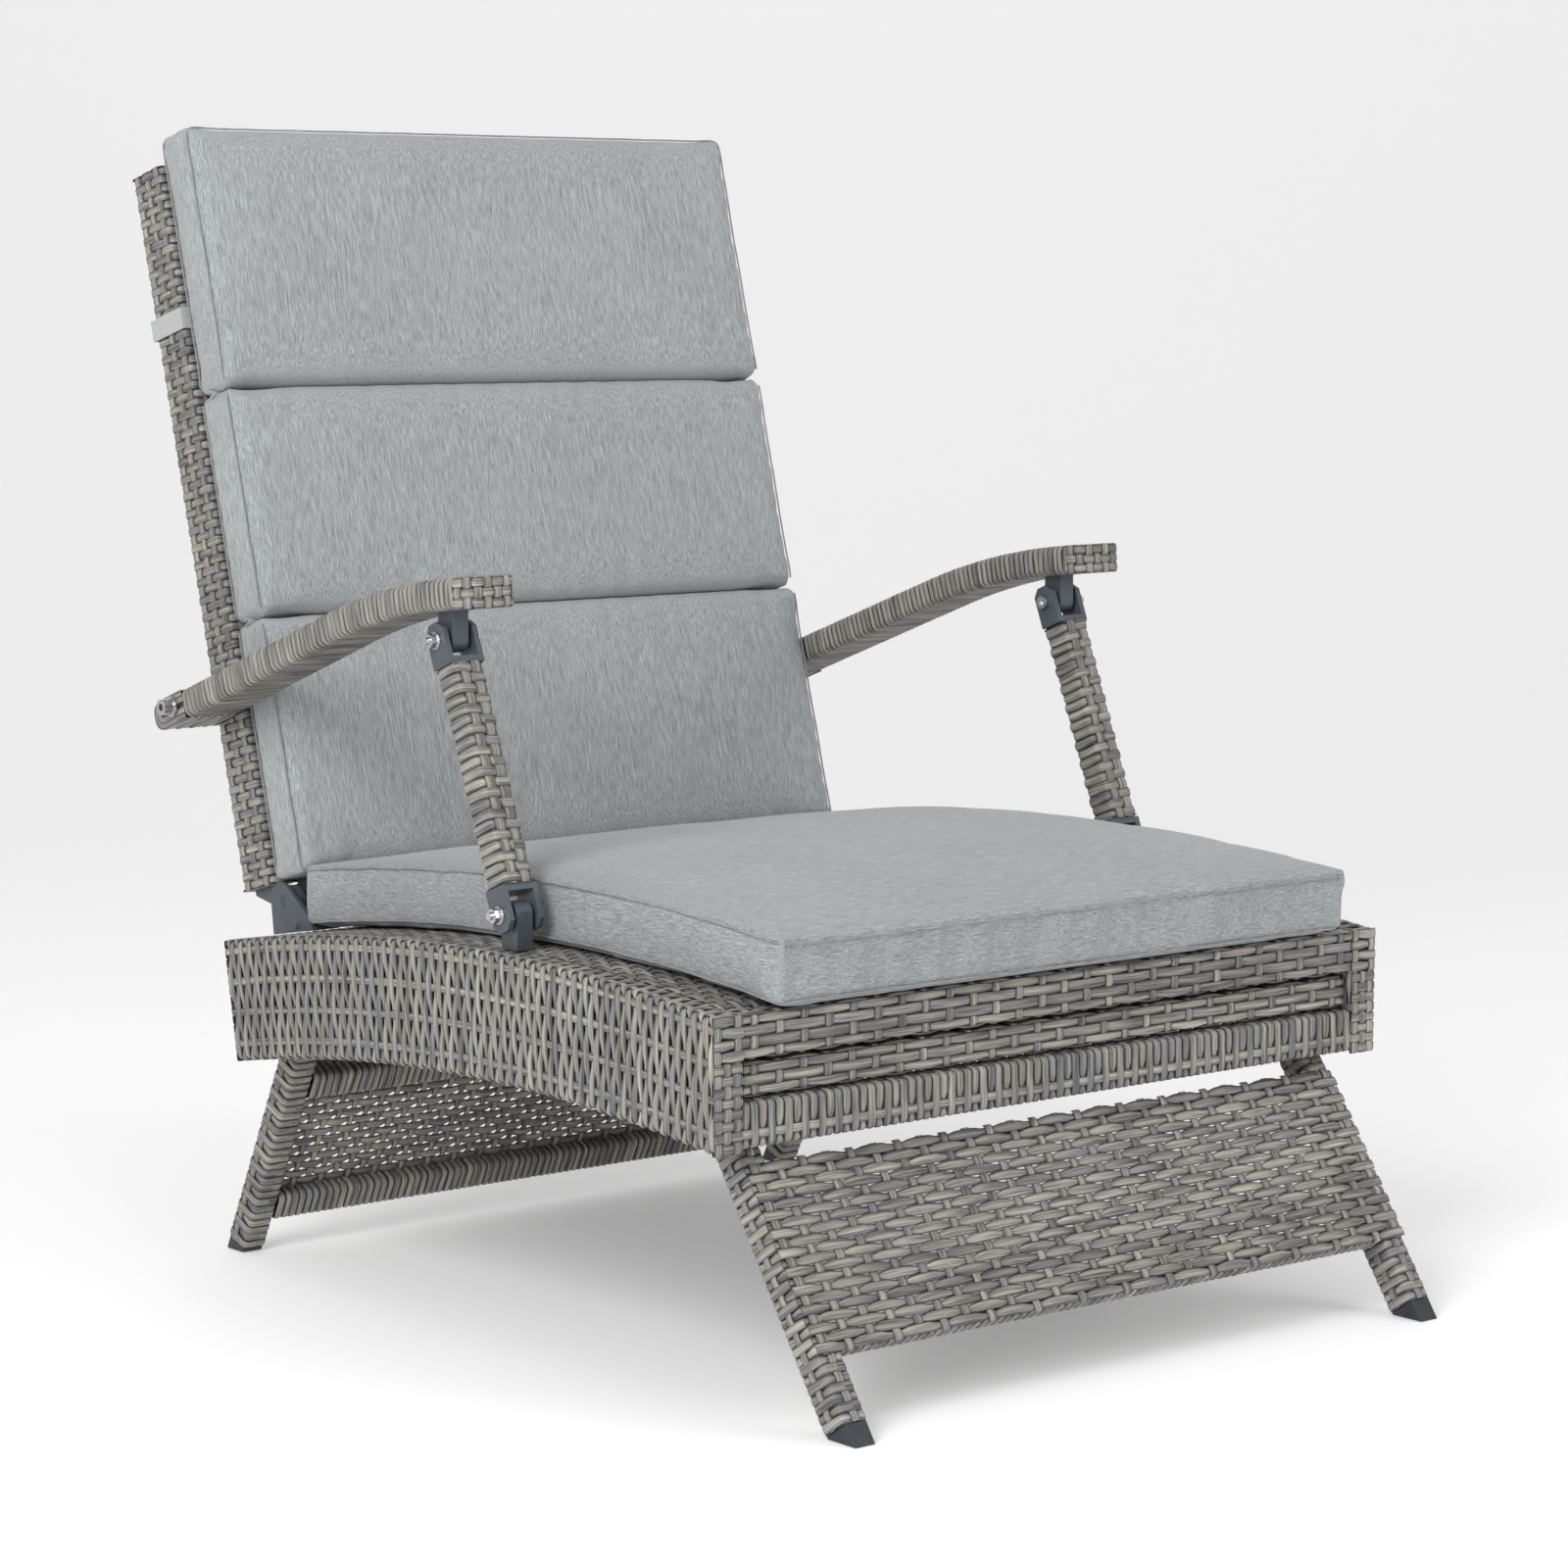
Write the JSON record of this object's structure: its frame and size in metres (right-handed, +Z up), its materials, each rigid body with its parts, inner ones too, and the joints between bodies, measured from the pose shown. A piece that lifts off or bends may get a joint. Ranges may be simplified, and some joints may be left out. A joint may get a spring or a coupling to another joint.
{
  "type": "reclining sun lounger",
  "caption": "Low woven garden recliner with splayed legs, a reclining back, swinging arms on pivoting posts, a pull-out footrest and padded cushions.",
  "frame": {"origin": "on the ground, below the middle of the chair's overall width and length", "axes": "+Z up, the chair faces -Y, the sitter's left is +X"},
  "size_m": [0.675, 0.9252, 0.9008],
  "materials": {
    "wicker": "flat woven strands with lengthwise streaks, warm grey",
    "coated_steel": "dark slate powder coat",
    "stainless": "plain stainless",
    "black_plastic": "satin",
    "cushion_fabric": "heathered weave",
    "elastic_band": "ribbed elastic"
  },
  "bodies": {
    "base": {"side_frame_left": "coated_steel", "side_frame_right": "coated_steel", "side_weave_left": "wicker", "side_weave_right": "wicker", "front_cross_tubes": "coated_steel", "front_upper_weave": "wicker", "front_lower_weave": "wicker", "rear_cross_tubes": "coated_steel", "rear_weave": "wicker", "seat_ribs": "coated_steel", "seat_weave": "wicker", "slide_channels": "coated_steel", "front_leg_left": "coated_steel", "front_leg_right": "coated_steel", "front_leg_weave_left": "wicker", "front_leg_weave_right": "wicker", "front_panel_rails": "coated_steel", "front_panel_weave": "wicker", "rear_leg_left": "coated_steel", "rear_leg_right": "coated_steel", "rear_leg_weave_left": "wicker", "rear_leg_weave_right": "wicker", "rear_panel_rails": "wicker", "rear_panel_weave": "wicker", "foot_caps": "black_plastic", "hinge_brackets": "coated_steel", "hinge_rivets": "coated_steel", "post_tongues": "coated_steel", "seat_cushion": "cushion_fabric"},
    "back": {"back_rail_left": "coated_steel", "back_rail_right": "coated_steel", "back_rail_weave_left": "wicker", "back_rail_weave_right": "wicker", "back_crossbars": "coated_steel", "back_panel_weave": "wicker", "hinge_tangs": "coated_steel", "back_cushion_upper": "cushion_fabric", "back_cushion_middle": "cushion_fabric", "back_cushion_lower": "cushion_fabric", "cushion_strap": "elastic_band", "arm_pivot_bolts": "stainless"},
    "arm_left": {"arm_core_left": "coated_steel", "arm_tongue_left": "coated_steel", "arm_weave_left": "wicker"},
    "post_left": {"post_left": "coated_steel", "post_weave_left": "wicker", "post_bolts_left": "stainless"},
    "arm_right": {"arm_core_right": "coated_steel", "arm_tongue_right": "coated_steel", "arm_weave_right": "wicker"},
    "post_right": {"post_right": "coated_steel", "post_weave_right": "wicker", "post_bolts_right": "stainless"},
    "footrest": {"footrest_frame": "coated_steel", "footrest_slat_weave": "wicker", "footrest_deck": "wicker", "footrest_shoes": "black_plastic", "footrest_leg_pins": "stainless"},
    "footrest_prop": {"footrest_leg": "coated_steel", "footrest_leg_caps": "black_plastic"}
  },
  "joints": [
    {"name": "back_recline", "type": "hinge", "parent": "base", "child": "back", "pos_m": [0, 0.25342, 0.289], "axis": [-1, 0, 0], "range_deg": [0, 45]},
    {"name": "post_swing_left", "type": "hinge", "parent": "base", "child": "post_left", "pos_m": [0.302, -0.10158, 0.322], "axis": [-1, 0, 0], "range_deg": [0, 33.6]},
    {"name": "arm_swing_left", "type": "hinge", "parent": "back", "child": "arm_left", "pos_m": [0.302, 0.32729, 0.44106], "axis": [-1, 0, 0], "range_deg": [-41.6, 0]},
    {"name": "post_swing_right", "type": "hinge", "parent": "base", "child": "post_right", "pos_m": [-0.302, -0.10158, 0.322], "axis": [-1, 0, 0], "range_deg": [0, 33.6]},
    {"name": "arm_swing_right", "type": "hinge", "parent": "back", "child": "arm_right", "pos_m": [-0.302, 0.32729, 0.44106], "axis": [-1, 0, 0], "range_deg": [-41.6, 0]},
    {"name": "footrest_slide", "type": "slide", "parent": "base", "child": "footrest", "axis": [0, -1, 0], "range_m": [0, 0.42]},
    {"name": "footrest_leg_fold", "type": "hinge", "parent": "footrest", "child": "footrest_prop", "pos_m": [0, -0.28358, 0.2315], "axis": [-1, 0, 0], "range_deg": [0, 95]}
  ],
  "couplings": [
    {"joint": "post_swing_left", "follows": "back_recline", "ratio": 0.745},
    {"joint": "arm_swing_left", "follows": "back_recline", "ratio": -0.922},
    {"joint": "post_swing_right", "follows": "back_recline", "ratio": 0.745},
    {"joint": "arm_swing_right", "follows": "back_recline", "ratio": -0.922}
  ]
}
